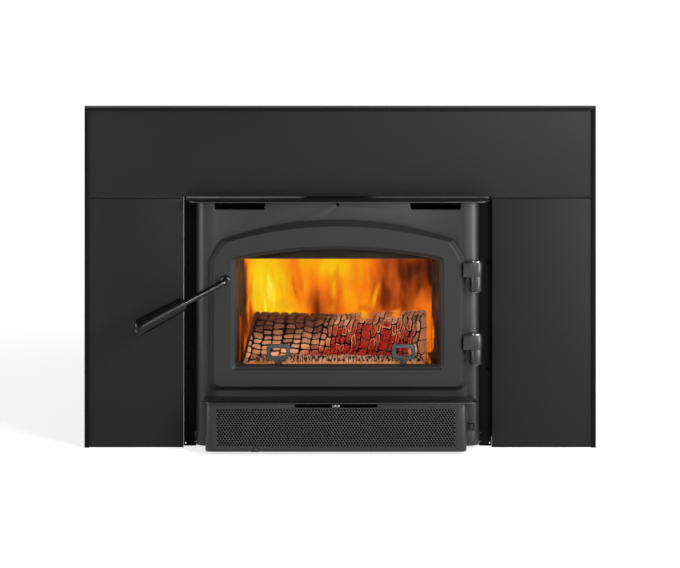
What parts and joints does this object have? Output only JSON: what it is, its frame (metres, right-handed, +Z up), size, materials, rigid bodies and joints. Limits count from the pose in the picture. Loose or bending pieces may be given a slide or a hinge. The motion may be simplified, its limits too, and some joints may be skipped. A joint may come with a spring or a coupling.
{
  "type": "fireplace insert",
  "caption": "Wood-burning fireplace insert: arched glass door with a swinging handle, ash ledge over a perforated fan cover, trimmed surround.",
  "frame": {"origin": "middle of the footprint, on the hearth", "axes": "+X to the viewer's right, -Y towards the room, +Z up"},
  "size_m": [1.023, 0.476, 0.695],
  "materials": {
    "panel_paint": "satin black powder coat",
    "cast_paint": "matt dark stove paint",
    "trim_paint": "semi-gloss black",
    "handle_black": "high gloss black",
    "bright_steel": "bright turned steel",
    "raw_steel": "heat-darkened steel",
    "galvanised": "galvanised sheet",
    "firebrick": "rough firebrick",
    "fibre_board": "matt fibre board",
    "cast_iron": "rough cast",
    "burning_wood": "charred bark",
    "ceramic_glass": "clear, faint brown tint",
    "fibre_rope": "braided glass fibre",
    "black_plastic": "moulded"
  },
  "bodies": {
    "insert": {"surround_top_panel": "panel_paint", "surround_left_panel": "panel_paint", "surround_right_panel": "panel_paint", "trim_top": "trim_paint", "trim_left": "trim_paint", "trim_right": "trim_paint", "side_flange_left": "panel_paint", "side_flange_right": "panel_paint", "front_skin": "cast_paint", "top_ledge": "cast_paint", "lower_ledge": "cast_paint", "firebox_floor": "raw_steel", "firebox_left_wall": "raw_steel", "firebox_right_wall": "raw_steel", "firebox_back_wall": "raw_steel", "firebox_top": "raw_steel", "flue_collar": "raw_steel", "airwash_deflector": "raw_steel", "air_tube_1": "raw_steel", "air_tube_2": "raw_steel", "air_tube_3": "raw_steel", "baffle_board": "fibre_board", "brick_floor": "firebrick", "brick_left": "firebrick", "brick_right": "firebrick", "brick_back": "firebrick", "andiron_left": "cast_iron", "andiron_right": "cast_iron", "fire_log": "burning_wood", "casing_wrap": "galvanised", "casing_top": "galvanised", "base_pan": "raw_steel", "levelling_bolt_1": "bright_steel", "levelling_bolt_2": "bright_steel", "levelling_bolt_3": "bright_steel", "levelling_bolt_4": "bright_steel", "hinge_bracket_upper": "cast_paint", "hinge_bracket_lower": "cast_paint", "blower_cover": "cast_paint", "blower_grille": "cast_paint", "blower_bracket": "galvanised", "blower_motor": "raw_steel", "switch_bezel": "black_plastic"},
    "door": {"door_frame": "cast_paint", "door_glass": "ceramic_glass", "glass_gasket": "fibre_rope", "glass_retainer": "raw_steel", "door_rope_seal": "fibre_rope", "hinge_lug_upper": "cast_paint", "hinge_lug_lower": "cast_paint", "hinge_pin_upper": "bright_steel", "hinge_pin_lower": "bright_steel"},
    "handle": {"handle_rod": "handle_black", "handle_grip": "handle_black", "latch_cam": "raw_steel"},
    "fan_rotor": {"impeller_left": "galvanised", "impeller_right": "galvanised"},
    "air_control": {"air_control_rod": "bright_steel", "air_damper_plate": "raw_steel"},
    "rocker": {"switch_rocker": "black_plastic"}
  },
  "joints": [
    {"name": "door_swing", "type": "hinge", "parent": "insert", "child": "door", "pos_m": [0.2716, -0.14492, 0.29], "axis": [0, 0, 1], "range_deg": [0, 120]},
    {"name": "handle_turn", "type": "hinge", "parent": "door", "child": "handle", "pos_m": [-0.23, -0.15292, 0.351], "axis": [0, 1, 0], "range_deg": [0, 65]},
    {"name": "fan_spin", "type": "hinge", "parent": "insert", "child": "fan_rotor", "pos_m": [-0.0085, -0.16292, 0.048], "axis": [1, 0, 0], "continuous": true},
    {"name": "air_slide", "type": "slide", "parent": "insert", "child": "air_control", "axis": [1, 0, 0], "range_m": [-0.07, 0.07]},
    {"name": "rocker_tilt", "type": "hinge", "parent": "insert", "child": "rocker", "pos_m": [0.2613, -0.13522, 0.0488], "axis": [1, 0, 0], "range_deg": [-10, 10]}
  ]
}
